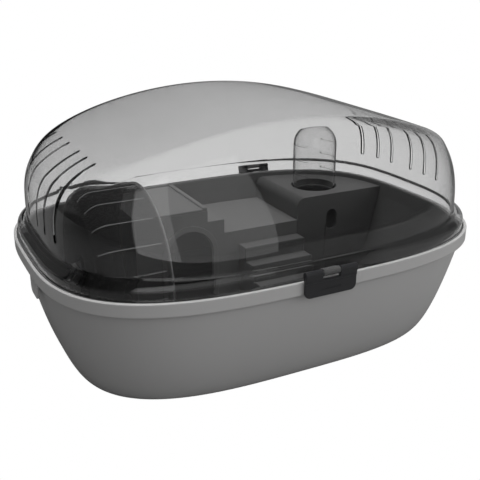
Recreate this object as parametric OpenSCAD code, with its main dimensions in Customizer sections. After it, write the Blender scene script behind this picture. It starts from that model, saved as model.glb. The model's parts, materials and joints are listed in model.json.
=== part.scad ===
// Hamster cage: a deep tub with a dark liner, moulded furniture, a running wheel
// and a clear domed lid on two rear hinges with one front latch.
// X is the length, Y the depth (front is -Y), Z is up; Z = 0 is the tub's underside.

/* [Tub] */
// Half length of the rim
rim_a = 278; // [260:1:300]
// Half depth of the rim
rim_b = 205.3; // [195:0.1:215]
// Height of the rim's top edge
rim_z = 142.6; // [130:0.1:160]
// Height of the band round the rim
band_h = 16; // [10:1:20]
// Half length of the tub's underside
foot_a = 234.4; // [220:0.1:245]
// Half depth of the tub's underside
foot_b = 154.4; // [140:0.1:165]
// Wall of the tub
tub_wall = 3; // [2:0.1:4]
// Wall of the liner
liner_wall = 2.4; // [1.5:0.1:3]

/* [Lid] */
// Height where the clear wall starts
wall_z = 162; // [155:1:170]
// Half length of the clear wall at its foot
wall_a = 262; // [250:1:264]
// Half depth of the clear wall at its foot
wall_b = 198.5; // [190:0.5:200]
// Half length of the roof's edge
roof_a = 236; // [226:1:244]
// Half depth of the roof's edge
roof_b = 138; // [125:1:150]
// Height of the roof's edge in the middle
roof_z = 300; // [290:1:310]
// Wall of the lid
lid_wall = 2.4; // [1.8:0.1:3]
// Width of a vent slot
slot_w = 6; // [4.2:0.1:7]
// Height where the vent slots end
slot_z = 183; // [178:1:190]

/* [Furniture] */
// Front face of the house, the platform and the tower
front_y = 60; // [55:1:65]
// Left end of the house
house_x0 = -126; // [-130:1:-120]
// Right end of the house
house_x1 = -22; // [-26:1:-18]
// Left end of the platform
deck_x0 = 3; // [0:1:6]
// Left side of the tower
tower_x = 120; // [116:1:124]
// Top of the house roof
house_z = 143; // [140:1:145]
// Rise of each step
rise = 20; // [19:0.5:21]
// Going of each step
going = 22; // [20:1:24]
// Top of the tower
tower_z = 136; // [132:1:138]
// Radius of the hole in the tower
hole_r = 34; // [33:0.5:36]
// Radius of the lookout tube
tube_r = 32; // [31:0.5:32.5]
// Top of the lookout tube
tube_top = 231; // [225:1:235]

/* [Wheel] */
// Outer radius of the wheel
wheel_r = 100; // [92:1:101]
// Width of the wheel
wheel_w = 80; // [70:1:82]
// Height of the wheel's axle
axle_z = 110; // [110:1:114]
// Plane of the wheel's open side
wheel_x = -135; // [-137:1:-133]

/* [Hidden] */
SIDES = 64;
GAP = 0.3;
RUN = 0.05;
TUB_N = 3.25;
WALL_N = 3.0;
ROOF_N = 5.0;
floor_z = tub_wall + GAP + liner_wall;
band_z = rim_z - band_h;
rebate_z = rim_z - 3.6;
flange_z = rebate_z + GAP;
skirt_z = flange_z + liner_wall + GAP;
skirt_a = rim_a - 5.5;
skirt_b = rim_b - 4.5;
roof_fall = 0.00092;
crown = 3;
slot_x = 210;
slot_y = [-72, -42, -12, 31, 61, 91];
pin_r = 1.5;
pin_z = rim_z + 8;
knuckle_r = 3.8;
lug_w = 21;
clip_t = 3;
latch_y = -(rim_b + 2.2);
latch_w = 65;
hinge_x = 123;
hinge_y = rim_b - 1.8;
hinge_w = 50;
hinge_tilt = 7.3;
hinge_face_y = 200.9;
deck_z = house_z - 2 * rise + 1;
shelf_z = house_z - rise + 1;
panel_t = 3.2;
sheet = 2.5;
back_y = 176;
tower_back = 182;
hole_x = 179;
hole_y = 112;
shoulder = 20;
axle_r = 4;
wheel_back = wheel_x - wheel_w;
stand_x = wheel_back - 8;

// A point of the unit superellipse of power n, in the direction t
function rounded(t, n) =
    let (c = cos(t), s = sin(t), r = pow(pow(abs(c), n) + pow(abs(s), n), -1 / n))
    [c * r, s * r];

function ring(a, b, n, z) = [for (i = [0:SIDES - 1])
    let (u = rounded(i * 360 / SIDES, n)) [a * u[0], b * u[1], z]];

function centre(points) = [for (k = [0:2]) [for (p = points) p[k]] * [for (p = points) 1] / len(points)];

// Closed skin over a run of rings, each end closed by a fan
module skin(rings) {
    n = len(rings[0]);
    m = len(rings);
    points = concat([for (r = rings) for (p = r) p], [centre(rings[0]), centre(rings[m - 1])]);
    sides = [for (i = [0:m - 2]) for (j = [0:n - 1]) let (k = (j + 1) % n)
        each [[i * n + j, (i + 1) * n + k, i * n + k], [i * n + j, (i + 1) * n + j, (i + 1) * n + k]]];
    first = [for (j = [0:n - 1]) [m * n, j, (j + 1) % n]];
    last = [for (j = [0:n - 1]) [m * n + 1, (m - 1) * n + (j + 1) % n, (m - 1) * n + j]];
    polyhedron(points = points, faces = concat(sides, first, last));
}

// The tub's wall bulges: it opens fast above the floor and stands up near the rim
function bulge(z) = pow(max(z, 0) / band_z, 0.62);
function tub_a(z) = foot_a + (rim_a - 6 - foot_a) * bulge(z);
function tub_b(z) = foot_b + (rim_b - 6 - foot_b) * bulge(z);
function tub_ring(z, inset) = ring(tub_a(z) - inset, tub_b(z) - inset, TUB_N, z);

module base_tub() {
    inner = tub_wall;
    heights = [1.5, 6, 14, 28, 50, 80, 110];
    color("#85868a") union() {
        skin(concat(
            [ring(foot_a - 3, foot_b - 3, TUB_N, 0)],
            [for (z = heights) tub_ring(z, 0)],
            [tub_ring(band_z, 0), ring(rim_a - 1, rim_b - 1, TUB_N, band_z + 0.4),
                ring(rim_a, rim_b, TUB_N, band_z + 1.6), ring(rim_a, rim_b, TUB_N, rim_z - 1.2),
                ring(rim_a - 1.2, rim_b - 1.2, TUB_N, rim_z),
                ring(rim_a - 3.5, rim_b - 3.5, TUB_N, rim_z),
                ring(rim_a - 3.5, rim_b - 3.5, TUB_N, rebate_z),
                ring(tub_a(band_z) - inner, tub_b(band_z) - inner, TUB_N, rebate_z)],
            [for (k = [len(heights) - 1:-1:2]) tub_ring(heights[k], inner)],
            [ring(foot_a - inner, foot_b - inner, TUB_N, inner)]));
        for (side = [-1, 1])
            grip_tongue(side);
    }
}

// A tongue below the band at each end, to lift the cage by
module grip_tongue(side) {
    w = 70;
    r = 10;
    top = band_z + 3;
    bottom = 92;
    translate([side > 0 ? rim_a - 0.5 : -rim_a + 0.5 + clip_t, 0, 0])
        rotate([90, 0, -90])
        linear_extrude(clip_t) {
            translate([-w / 2, bottom + r])
                square([w, top - bottom - r]);
            translate([-w / 2 + r, bottom])
                square([w - 2 * r, r + 1]);
            for (s = [-1, 1])
                translate([s * (w / 2 - r), bottom + r])
                    circle(r, $fn = 32);
        }
}

module inner_tray() {
    outer = tub_wall + GAP;
    inner = outer + liner_wall;
    heights = [14, 28, 50, 80, 110];
    color("#34363a") skin(concat(
        [ring(foot_a - outer - 2, foot_b - outer - 2, TUB_N, outer)],
        [for (z = heights) tub_ring(z, outer)],
        [ring(tub_a(band_z) - outer, tub_b(band_z) - outer, TUB_N, flange_z - 0.1),
            ring(rim_a - 4, rim_b - 4, TUB_N, flange_z),
            ring(rim_a - 4, rim_b - 4, TUB_N, flange_z + liner_wall),
            ring(tub_a(band_z) - inner, tub_b(band_z) - inner, TUB_N, flange_z + liner_wall)],
        [for (k = [len(heights) - 1:-1:0]) tub_ring(heights[k], inner)],
        [ring(foot_a - inner - 2, foot_b - inner - 2, TUB_N, floor_z)]));
}

// Room left for the rounded corner between the liner's floor and its wall
function corner_room(z) = z < 14 ? 9.5 : 0;

// Side view of a wall that runs back from the front face and follows the liner
function cheek(z0, z1, back) = concat([[front_y, z0]],
    [for (z = [z0, 14, 28, 50, 80, 110]) if (z < z1)
        [tub_b(z) - corner_room(z) - 14 + min(0, back - back_y), z]],
    [[back, z1], [front_y, z1]]);

module side_wall(x, z1, back) {
    translate([x, 0, 0])
        rotate([90, 0, 90])
        linear_extrude(sheet)
        polygon(cheek(floor_z + GAP, z1, back));
}

module house_block() {
    z0 = floor_z + GAP;
    top = house_z - panel_t;
    door_x = -49;
    door_r = 34;
    frame_r = 44;
    door_z = 80;
    color("#34363a") difference() {
        union() {
            translate([house_x0, front_y, z0])
                cube([house_x1 - house_x0, sheet, top - z0]);
            translate([house_x1 - 1, front_y, z0])
                cube([deck_x0 - house_x1 + 2, sheet, shelf_z - z0]);
            translate([deck_x0, front_y, z0])
                cube([tower_x - deck_x0 - GAP, sheet, deck_z - z0]);
            translate([house_x1 - sheet, front_y, shelf_z - sheet])
                cube([deck_x0 - house_x1 + sheet, back_y - front_y, sheet]);
            translate([deck_x0 - sheet, front_y, deck_z - sheet])
                cube([tower_x - deck_x0 + sheet - GAP, back_y - front_y, sheet]);
            translate([deck_x0 - sheet, front_y, deck_z - sheet])
                cube([sheet, back_y - front_y, shelf_z - deck_z + sheet]);
            side_wall(house_x0, top, back_y);
            side_wall(deck_x0 - sheet, deck_z - 1, back_y);
            translate([house_x1 - sheet, front_y, shelf_z - sheet])
                cube([sheet, back_y - front_y, top - shelf_z + sheet]);
            side_wall(tower_x - GAP - sheet, deck_z, back_y - 2);
            translate([door_x, front_y + 1, door_z])
                rotate([90, 0, 0])
                cylinder(h = 3, r = frame_r - 2, $fn = 48);
        }
        translate([door_x, front_y + 10, door_z])
            rotate([90, 0, 0])
            cylinder(h = 20, r = door_r, $fn = 48);
        translate([door_x - door_r, front_y - 10, z0 - 1])
            cube([2 * door_r, 20, door_z - z0 + 1]);
        translate([door_x - frame_r, front_y - 4, z0])
            cube([2 * frame_r, 4, door_z - z0]);
    }
}

// Roof panel of the house, with a raised lip along its right edge
module house_roof() {
    color("#3c3e42") union() {
        translate([house_x0, front_y, house_z - panel_t])
            cube([house_x1 - house_x0, back_y - front_y + 4, panel_t]);
        translate([house_x1 - 6, front_y, house_z - 1])
            cube([6, back_y - front_y + 4, 3]);
        for (x = [house_x0 + sheet + 0.6, house_x1 - 2 * sheet - 2.6])
            translate([x, front_y + 20, house_z - panel_t - 4])
                cube([2, 80, 5]);
    }
}

// Flight of steps that stands against the platform
module stair_block() {
    x0 = 25;
    x1 = tower_x - GAP;
    z0 = floor_z + GAP;
    steps = 4;
    shell = 2.5;
    function outline(inset) = concat(
        [[front_y - GAP - inset, z0 - (inset > 0 ? 1 : 0)],
            [front_y - GAP - inset, deck_z - rise - inset]],
        [for (k = [0:steps - 1]) each [
            [front_y - (k + 1) * going + inset, deck_z - (k + 1) * rise - inset],
            [front_y - (k + 1) * going + inset,
                k < steps - 1 ? deck_z - (k + 2) * rise - inset : z0 - (inset > 0 ? 1 : 0)]]]);
    color("#34363a") difference() {
        translate([x0, 0, 0])
            rotate([90, 0, 90])
            linear_extrude(x1 - x0)
            polygon(outline(0));
        translate([x0 + shell, 0, 0])
            rotate([90, 0, 90])
            linear_extrude(x1 - x0 - 2 * shell)
            polygon(outline(shell));
    }
}

// Plan of the tower's deck: a corner that follows the liner
module tower_plan(z) {
    inset = tub_wall + liner_wall + 2 * GAP + 2;
    intersection() {
        translate([tower_x, front_y])
            square([rim_a, tower_back - front_y]);
        polygon([for (i = [0:SIDES - 1]) let (u = rounded(i * 360 / SIDES, TUB_N))
            [(tub_a(z) - inset) * u[0], (tub_b(z) - inset) * u[1]]]);
    }
}

module tower_block() {
    z0 = floor_z + GAP;
    inset = tub_wall + liner_wall + 2 * GAP + 4;
    r = 12;
    collar = 11;
    peep_x = 179;
    peep_r = 9;
    peep_z = [90, 103];
    color("#34363a") difference() {
        union() {
            translate([0, 0, tower_z - sheet])
                linear_extrude(sheet)
                tower_plan(tower_z - 20);
            side_wall(tower_x, tower_z - 1, back_y - 8);
            translate([0, front_y + sheet, 0])
                rotate([90, 0, 0])
                linear_extrude(sheet)
                polygon(concat([[tower_x, tower_z], [tower_x, z0]],
                    [for (z = [z0, 14, 28, 50, 80, 110]) [tub_a(z) - corner_room(z) - inset - 2, z]],
                    [[tub_a(tower_z - 20) - inset - 2, tower_z]]));
            translate([hole_x, hole_y, tower_z - collar])
                cylinder(h = collar, r = hole_r + 2.5, $fn = 64);
        }
        translate([hole_x, hole_y, tower_z - collar + 2])
            cylinder(h = collar, r = hole_r, $fn = 64);
        translate([hole_x, hole_y, tower_z - collar - 1])
            cylinder(h = 5, r = hole_r - 5, $fn = 64);
        for (z = peep_z)
            translate([peep_x, front_y + 10, z])
                rotate([90, 0, 0])
                cylinder(h = 20, r = peep_r, $fn = 32);
        translate([peep_x - peep_r, front_y - 5, peep_z[0]])
            cube([2 * peep_r, 15, peep_z[1] - peep_z[0]]);
        translate([peep_x - peep_r - 2, front_y - 1, z0 + 10])
            cube([1.2, 2.2, peep_z[0] - z0 - 10]);
        // rounded top left edge
        difference() {
            translate([tower_x - 1, front_y - 1, tower_z - r])
                cube([r + 1, tower_back, r + 1]);
            translate([tower_x + r, front_y - 2, tower_z - r])
                rotate([-90, 0, 0])
                cylinder(h = tower_back + 4, r = r, $fn = 48);
        }
    }
    color("#34363a") intersection() {
        difference() {
            translate([tower_x + r, front_y, tower_z - r])
                rotate([-90, 0, 0])
                cylinder(h = back_y - 8 - front_y, r = r, $fn = 48);
            translate([tower_x + r, front_y - 1, tower_z - r])
                rotate([-90, 0, 0])
                cylinder(h = tower_back, r = r - sheet, $fn = 48);
        }
        translate([tower_x, front_y, tower_z - r])
            cube([r, tower_back, r]);
    }
}

// Clear tube with a domed top, standing in the tower's collar
module lookout_tube() {
    t = 2;
    z0 = tower_z - 9 + GAP;
    spring = tube_top - tube_r;
    color([0.6, 0.62, 0.64, 0.5]) difference() {
        translate([hole_x, hole_y, 0])
            rotate_extrude($fn = 64)
            union() {
                translate([tube_r - t, z0])
                    square([t, spring - z0]);
                intersection() {
                    translate([0, spring])
                        square([tube_r, tube_r]);
                    difference() {
                        translate([0, spring])
                            circle(tube_r, $fn = 64);
                        translate([0, spring])
                            circle(tube_r - t, $fn = 64);
                    }
                }
            }
        for (z = [157, 179, 201])
            for (side = [-1, 1])
                translate([hole_x + side * tube_r, hole_y, z])
                    cube([16, 42, 3], center = true);
    }
}

module along_x(x, y, z) {
    translate([x, y, z])
        rotate([0, 90, 0])
        children();
}

// Drum with one open side, a rolled rim, a rounded shoulder and a closed side
module wheel_drum() {
    t = 2;
    color([0.45, 0.46, 0.48, 0.5]) along_x(wheel_back, 0, axle_z)
        rotate_extrude($fn = 96)
        union() {
            translate([wheel_r - t, shoulder])
                square([t, wheel_w - shoulder]);
            translate([wheel_r - 3.2, wheel_w - 3])
                square([3.2, 3]);
            intersection() {
                difference() {
                    translate([wheel_r - shoulder, shoulder])
                        circle(shoulder, $fn = 64);
                    translate([wheel_r - shoulder, shoulder])
                        circle(shoulder - t, $fn = 64);
                }
                translate([wheel_r - shoulder, 0])
                    square([shoulder, shoulder]);
            }
            translate([14, 0])
                square([wheel_r - shoulder - 14, t]);
        }
}

// Hub moulding pressed into the middle of the drum's closed side
module wheel_hub() {
    color("#2c2d30") along_x(wheel_back - 3, 0, axle_z)
        rotate_extrude($fn = 64)
        union() {
            translate([6.5, 0])
                square([7.5, 16]);
            translate([6.5, 5])
                square([15.5, 3]);
        }
}

module hub_bush() {
    color("#cfcfca") along_x(wheel_back - 3.5, 0, axle_z)
        rotate_extrude($fn = 64)
        translate([axle_r + RUN, 0])
        square([6.5 - axle_r - RUN, 17]);
}

module wheel_axle() {
    color("#b8babd") along_x(stand_x - 5, 0, axle_z)
        difference() {
            cylinder(h = wheel_back + 15 - stand_x + 5, r = axle_r, $fn = 48);
            translate([0, 0, wheel_back + 15 - stand_x + 5 - 8])
                cylinder(h = 9, r = 1.4, $fn = 24);
        }
}

module axle_washer() {
    color("#b8babd") along_x(wheel_back + 15 + 0.02, 0, axle_z)
        difference() {
            cylinder(h = 1.2, r = 9, $fn = 48);
            translate([0, 0, -1])
                cylinder(h = 4, r = 1.7, $fn = 24);
        }
}

module axle_screw() {
    color("#a4a6aa") along_x(wheel_back + 15 + 1.24, 0, axle_z)
        difference() {
            union() {
                cylinder(h = 2.4, r = 3.6, $fn = 36);
                translate([0, 0, -7])
                    cylinder(h = 8, r = 1.4, $fn = 24);
            }
            for (a = [0, 90])
                rotate([0, 0, a])
                translate([-2, -0.4, 1.4])
                cube([4, 0.8, 2]);
        }
}

// Upright behind the wheel's closed side, with a foot on the liner's floor
module wheel_stand() {
    z0 = floor_z + GAP;
    t = 6;
    boss_r = 13;
    foot_w = 60;
    color("#2c2d30") difference() {
        union() {
            translate([stand_x - t / 2, 0, 0])
                rotate([90, 0, 90])
                linear_extrude(t)
                polygon([[-foot_w / 2, z0], [foot_w / 2, z0], [boss_r - 1, axle_z], [1 - boss_r, axle_z]]);
            along_x(stand_x - t / 2, 0, axle_z)
                cylinder(h = t, r = boss_r, $fn = 48);
            translate([stand_x - t / 2, -foot_w / 2, z0])
                cube([20, foot_w, 3]);
        }
        along_x(stand_x - 12, 0, axle_z)
            cylinder(h = 30, r = axle_r, $fn = 48);
        for (s = [-1, 1])
            translate([stand_x + 11, s * 24, z0 - 1])
                cylinder(h = 6, r = 1.8, $fn = 24);
    }
}

module stand_screws() {
    z0 = floor_z + GAP;
    color("#a4a6aa") for (s = [-1, 1])
        translate([stand_x + 11, s * 24, z0 + 3.02])
            difference() {
                union() {
                    cylinder(h = 2, r = 3.4, $fn = 36);
                    translate([0, 0, -3])
                        cylinder(h = 4, r = 1.5, $fn = 24);
                }
                for (a = [0, 90])
                    rotate([0, 0, a])
                    translate([-1.8, -0.4, 1.1])
                    cube([3.6, 0.8, 2]);
            }
}

// Height of the roof at half length x, and its crown towards the middle
function roof_height(x, m) = roof_z - roof_fall * x * x + crown * (1 - m * m);

// Point of the lid's wall in direction t at share s of its height, inset by w
function wall_point(t, s, w) =
    let (u = rounded(t, WALL_N), v = rounded(t, ROOF_N), end = pow(abs(u[0]), 6),
        k = 1.8 + 2.8 * end, f = pow(s, k),
        foot = [(wall_a - w) * u[0], (wall_b - w) * u[1]],
        edge = [(roof_a - w) * v[0], (roof_b - w) * v[1]],
        p = foot + (edge - foot) * f)
    [p[0], p[1], wall_z + (roof_height(edge[0], 1) - w - wall_z) * s];

// Point of the roof in direction t at share m of the way out to its edge
function roof_point(t, m, w) = let (v = rounded(t, ROOF_N))
    [(roof_a - w) * v[0] * m, (roof_b - w) * v[1] * m, roof_height((roof_a - w) * v[0] * m, m) - w];

// Rounded meeting of wall and roof: tight along the front, wide at the ends
function edge_point(t, q, w) =
    let (end = pow(abs(rounded(t, WALL_N)[0]), 6),
        a = wall_point(t, 0.94 - 0.09 * end, w), b = wall_point(t, 1, w),
        c = roof_point(t, 0.94 - 0.03 * end, w))
    a * pow(1 - q, 2) + b * 2 * q * (1 - q) + c * q * q;

function turn() = [for (i = [0:SIDES - 1]) i * 360 / SIDES];
function lid_rings(w, up) =
    let (rings = concat(
        [for (s = [0.14, 0.3, 0.46, 0.6, 0.72, 0.8])
            [for (t = turn()) let (end = pow(abs(rounded(t, WALL_N)[0]), 6))
                wall_point(t, s * (0.94 - 0.09 * end) / 0.84, w)]],
        [for (q = [0, 0.25, 0.5, 0.75, 1]) [for (t = turn()) edge_point(t, q, w)]],
        [for (m = [0.75, 0.5, 0.22]) [for (t = turn()) roof_point(t, m, w)]]))
    up ? rings : [for (k = [len(rings) - 1:-1:0]) rings[k]];

module lid_shell() {
    w = lid_wall;
    skin(concat(
        lid_rings(w, false),
        [ring(wall_a - w, wall_b - w, WALL_N, wall_z - w),
            ring(skirt_a - 4 - w, skirt_b - 0.6 - w, TUB_N, wall_z - 4 - w),
            ring(skirt_a - w, skirt_b - w, TUB_N, wall_z - 10),
            ring(skirt_a - w, skirt_b - w, TUB_N, skirt_z),
            ring(skirt_a, skirt_b, TUB_N, skirt_z),
            ring(skirt_a, skirt_b, TUB_N, wall_z - 9),
            ring(skirt_a - 1.6, skirt_b - 0.3, TUB_N, wall_z - 4.5),
            ring(skirt_a - 6, skirt_b - 1, TUB_N, wall_z - 1),
            ring(wall_a, wall_b, WALL_N, wall_z)],
        lid_rings(0, true)));
}

// A vent slot: a slab through the end wall with a round tip on the roof and a round foot
module vent_slot(side, y) {
    reach = 70;
    translate([side > 0 ? slot_x : -slot_x - reach, y - slot_w / 2, slot_z])
        cube([reach, slot_w, roof_z - slot_z]);
    translate([side * slot_x, y, slot_z + 20])
        cylinder(h = roof_z - slot_z - 20, r = slot_w / 2, $fn = 16);
    along_x(side > 0 ? slot_x : -slot_x - reach, y, slot_z)
        cylinder(h = reach, r = slot_w / 2, $fn = 16);
}

// Lug between a clip's knuckles, joined to the skirt by a web
module lid_lug(x, y, reach) {
    out = y > 0 ? 1 : -1;
    along_x(x - lug_w / 2, y, pin_z)
        cylinder(h = lug_w, r = knuckle_r, $fn = 36);
    translate([x - lug_w / 2, out > 0 ? y - reach : y, pin_z - 2])
        cube([lug_w, reach, 4]);
}

module lid_dome() {
    color([0.6, 0.62, 0.64, 0.45]) difference() {
        union() {
            lid_shell();
            lid_lug(0, latch_y, 8);
            for (s = [-1, 1])
                lid_lug(s * hinge_x, hinge_y, 9.5);
        }
        for (side = [-1, 1])
            for (y = slot_y)
                vent_slot(side, y);
        along_x(-lug_w, latch_y, pin_z)
            cylinder(h = 2 * lug_w, r = pin_r + RUN, $fn = 24);
        for (s = [-1, 1])
            along_x(s * hinge_x - lug_w, hinge_y, pin_z)
                cylinder(h = 2 * lug_w, r = pin_r + RUN, $fn = 24);
    }
}

// Plate with round bottom corners and an arm at each side, drawn in X and Z
module clip_plate(w) {
    r = 6;
    bottom = 123.5;
    top = rim_z + 0.6;
    arm = (w - lug_w) / 2 - 0.5;
    translate([-w / 2, bottom + r])
        square([w, top - bottom - r]);
    translate([-w / 2 + r, bottom])
        square([w - 2 * r, r + 1]);
    for (s = [-1, 1]) {
        translate([s * (w / 2 - r), bottom + r])
            circle(r, $fn = 32);
        translate([s > 0 ? w / 2 - arm : -w / 2, top - 1])
            square([arm, pin_z - top + 1]);
    }
}

module knuckles(w, y) {
    arm = (w - lug_w) / 2 - 0.5;
    for (s = [-1, 1])
        along_x(s > 0 ? w / 2 - arm : -w / 2, y, pin_z)
            cylinder(h = arm, r = knuckle_r, $fn = 36);
}

module latch_clip() {
    face = latch_y + 1.5;
    color("#1c1d1f") difference() {
        union() {
            translate([0, face, 0])
                rotate([90, 0, 0])
                linear_extrude(clip_t)
                clip_plate(latch_w);
            knuckles(latch_w, latch_y);
            translate([-latch_w / 2, face - clip_t - 0.8, rim_z - 1.6])
                cube([latch_w, 1.8, 2.2]);
        }
        along_x(-latch_w, latch_y, pin_z)
            cylinder(h = 2 * latch_w, r = pin_r, $fn = 24);
        translate([-12, face - clip_t - 1, 131])
            cube([24, 2, 2.4]);
    }
}

module hinge_clip(side) {
    color("#1c1d1f") difference() {
        union() {
            translate([side * hinge_x, hinge_face_y, 0])
                rotate([0, 0, -side * hinge_tilt])
                translate([0, clip_t, 0])
                rotate([90, 0, 0])
                linear_extrude(clip_t)
                clip_plate(hinge_w);
            translate([side * hinge_x, 0, 0])
                knuckles(hinge_w, hinge_y);
        }
        along_x(side * hinge_x - hinge_w, hinge_y, pin_z)
            cylinder(h = 2 * hinge_w, r = pin_r, $fn = 24);
    }
}

module hinge_clip_left() { hinge_clip(-1); }
module hinge_clip_right() { hinge_clip(1); }

module pin(x, y, length) {
    color("#9a9c9f") along_x(x - length / 2, y, pin_z)
        cylinder(h = length, r = pin_r, $fn = 36);
}

module hinge_pin_left() { pin(-hinge_x, hinge_y, hinge_w - 1); }
module hinge_pin_right() { pin(hinge_x, hinge_y, hinge_w - 1); }
module latch_pin() { pin(0, latch_y, latch_w - 1); }

base_tub();
inner_tray();
house_block();
house_roof();
stair_block();
tower_block();
lookout_tube();
wheel_drum();
wheel_hub();
hub_bush();
wheel_axle();
axle_washer();
axle_screw();
wheel_stand();
stand_screws();
lid_dome();
hinge_clip_left();
hinge_clip_right();
hinge_pin_left();
hinge_pin_right();
latch_clip();
latch_pin();
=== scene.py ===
"""Looks of the hamster cage: a satin grey tub with an anthracite liner and moulded
furniture, a smoky running wheel and a clear domed lid with vent slots and clips.

Every length is in metres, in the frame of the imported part: X is the length, the front
is -Y, Z is up and the tub stands on Z = 0. Places are worked out from the boxes of the
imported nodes."""

import json
import math

import bpy
import numpy as np
from mathutils import Matrix, Vector


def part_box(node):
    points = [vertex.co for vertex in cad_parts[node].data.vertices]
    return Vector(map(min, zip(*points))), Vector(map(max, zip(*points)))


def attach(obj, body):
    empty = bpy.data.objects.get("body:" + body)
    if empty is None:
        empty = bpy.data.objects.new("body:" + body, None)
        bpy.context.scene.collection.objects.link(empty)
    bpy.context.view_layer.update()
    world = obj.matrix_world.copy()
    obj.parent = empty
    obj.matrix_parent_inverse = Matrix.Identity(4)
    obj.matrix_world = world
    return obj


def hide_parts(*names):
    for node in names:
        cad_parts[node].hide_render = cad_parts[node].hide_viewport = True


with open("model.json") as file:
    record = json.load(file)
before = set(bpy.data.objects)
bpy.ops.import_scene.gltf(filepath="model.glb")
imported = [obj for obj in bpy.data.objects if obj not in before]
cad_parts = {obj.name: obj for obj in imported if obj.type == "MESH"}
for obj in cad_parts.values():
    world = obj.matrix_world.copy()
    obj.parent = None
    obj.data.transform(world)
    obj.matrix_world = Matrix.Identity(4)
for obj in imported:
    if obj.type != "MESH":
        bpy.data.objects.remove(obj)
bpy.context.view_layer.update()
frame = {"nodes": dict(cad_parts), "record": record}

MM = 0.001

# ---------------------------------------------------------------- camera
camera_data = bpy.data.cameras.new("camera")
camera_data.lens = 56.14
camera_data.sensor_width = 36.0
camera = bpy.data.objects.new("camera", camera_data)
bpy.context.scene.collection.objects.link(camera)
camera.location = (-0.41620, -0.81258, 0.46722)
look = Vector((-0.00293, -0.00008, 0.11438)) - camera.location
camera.rotation_euler = look.to_track_quat("-Z", "Y").to_euler()
bpy.context.scene.camera = camera
bpy.context.scene.view_settings.view_transform = "Standard"

# ---------------------------------------------------------------- sizes
tub_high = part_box("base_tub")[1]
lid_low, lid_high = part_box("lid_dome")
roof_low, roof_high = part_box("house_roof")
stair_low, stair_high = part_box("stair_block")
tower_low, tower_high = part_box("tower_block")
tube_low, tube_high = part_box("lookout_tube")
drum_low, drum_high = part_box("wheel_drum")
latch_low, latch_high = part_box("latch_clip")

RIM_A = tub_high.x
RIM_B = tub_high.y
RIM_Z = tub_high.z
BAND = 16 * MM
BAND_Z = RIM_Z - BAND
BAND_STEP = 6 * MM
FOOT_A = RIM_A - 43.6 * MM
FOOT_B = RIM_B - 50.9 * MM
TUB_WALL = 3 * MM
LINER = 2.4 * MM
GAP = 0.3 * MM
TUB_N = 3.25
WALL_N = 3.0
ROOF_N = 5.0
FLOOR_Z = TUB_WALL + GAP + LINER
REBATE_Z = RIM_Z - 3.6 * MM
FLANGE_Z = REBATE_Z + GAP

LID_T = 2.4 * MM
SKIRT_A = RIM_A - 5.5 * MM
SKIRT_B = RIM_B - 4.5 * MM
SKIRT_Z = lid_low.z
LEDGE_DROP = 9 * MM
WALL_Z = RIM_Z + 19.4 * MM
WALL_A = RIM_A - 16 * MM
WALL_B = RIM_B - 6.8 * MM
ROOF_A = RIM_A - 42 * MM
ROOF_B = 138 * MM
ROOF_Z = lid_high.z - 3 * MM
ROOF_FALL = 0.92
CROWN = 3 * MM

FRONT = roof_low.y
AROUND = 320


# ---------------------------------------------------------------- mesh work
def closed_grid(points, low_end="fan", high_end="fan"):
    """Faces of a grid of rings (rows x columns x 3) that closes round its columns.
    An end is closed by a fan to the ring's centre, left open, or joined to the other."""
    rows, columns = points.shape[:2]
    flat = points.reshape(-1, 3)
    i, j = np.meshgrid(np.arange(rows - 1), np.arange(columns), indexing="ij")
    k = (j + 1) % columns
    quads = np.stack([i * columns + j, i * columns + k, (i + 1) * columns + k, (i + 1) * columns + j], -1)
    faces = quads.reshape(-1, 4).tolist()
    j = np.arange(columns)
    k = (j + 1) % columns
    if low_end == "join":
        last = (rows - 1) * columns
        faces += np.stack([last + j, last + k, k, j], -1).tolist()
        return flat, faces
    if low_end == "fan":
        centre = len(flat)
        flat = np.vstack([flat, points[0].mean(0)])
        faces += np.stack([np.full(columns, centre), k, j], -1).tolist()
    if high_end == "fan":
        centre = len(flat)
        flat = np.vstack([flat, points[-1].mean(0)])
        last = (rows - 1) * columns
        faces += np.stack([np.full(columns, centre), last + j, last + k], -1).tolist()
    return flat, faces


def solid(name, flat, faces, sharp=None):
    """A smooth-shaded mesh object from points and faces, with its volume positive."""
    mesh = bpy.data.meshes.new(name)
    mesh.from_pydata(np.asarray(flat, float).tolist(), [], faces)
    mesh.update()
    mesh.shade_smooth()
    if sharp is not None:
        mesh.set_sharp_from_angle(angle=math.radians(sharp))
    made = bpy.data.objects.new(name, mesh)
    bpy.context.scene.collection.objects.link(made)
    return made


def superellipse(t, n):
    """Unit vectors scaled so that |x|^n + |y|^n = 1, in the directions t."""
    c, s = np.cos(t), np.sin(t)
    r = (np.abs(c) ** n + np.abs(s) ** n) ** (-1 / n)
    return np.stack([c * r, s * r], -1)


def oval_rings(profile, n, count=AROUND):
    """Rings round Z: each row of profile is (half length, half depth, height)."""
    u = superellipse(np.linspace(0, 2 * np.pi, count, endpoint=False), n)
    a, b, z = np.asarray(profile, float).T
    x = a[:, None] * u[None, :, 0]
    y = b[:, None] * u[None, :, 1]
    return np.stack([x, y, np.repeat(z[:, None], count, 1)], -1)


def spun_rings(profile, centre, axis, angles=None, count=128):
    """Rings of revolution: each row of profile is (place along the axis, radius).
    The axis is 'x' or 'z' and passes through centre."""
    if angles is None:
        angles = np.linspace(0, 2 * np.pi, count, endpoint=False)
    along, r = np.asarray(profile, float).T
    c = r[:, None] * np.cos(angles)[None]
    s = r[:, None] * np.sin(angles)[None]
    h = np.repeat(along[:, None], len(angles), 1)
    if axis == "x":
        return np.stack([h, centre[1] + c, centre[2] + s], -1)
    return np.stack([centre[0] + c, centre[1] + s, h], -1)


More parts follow.
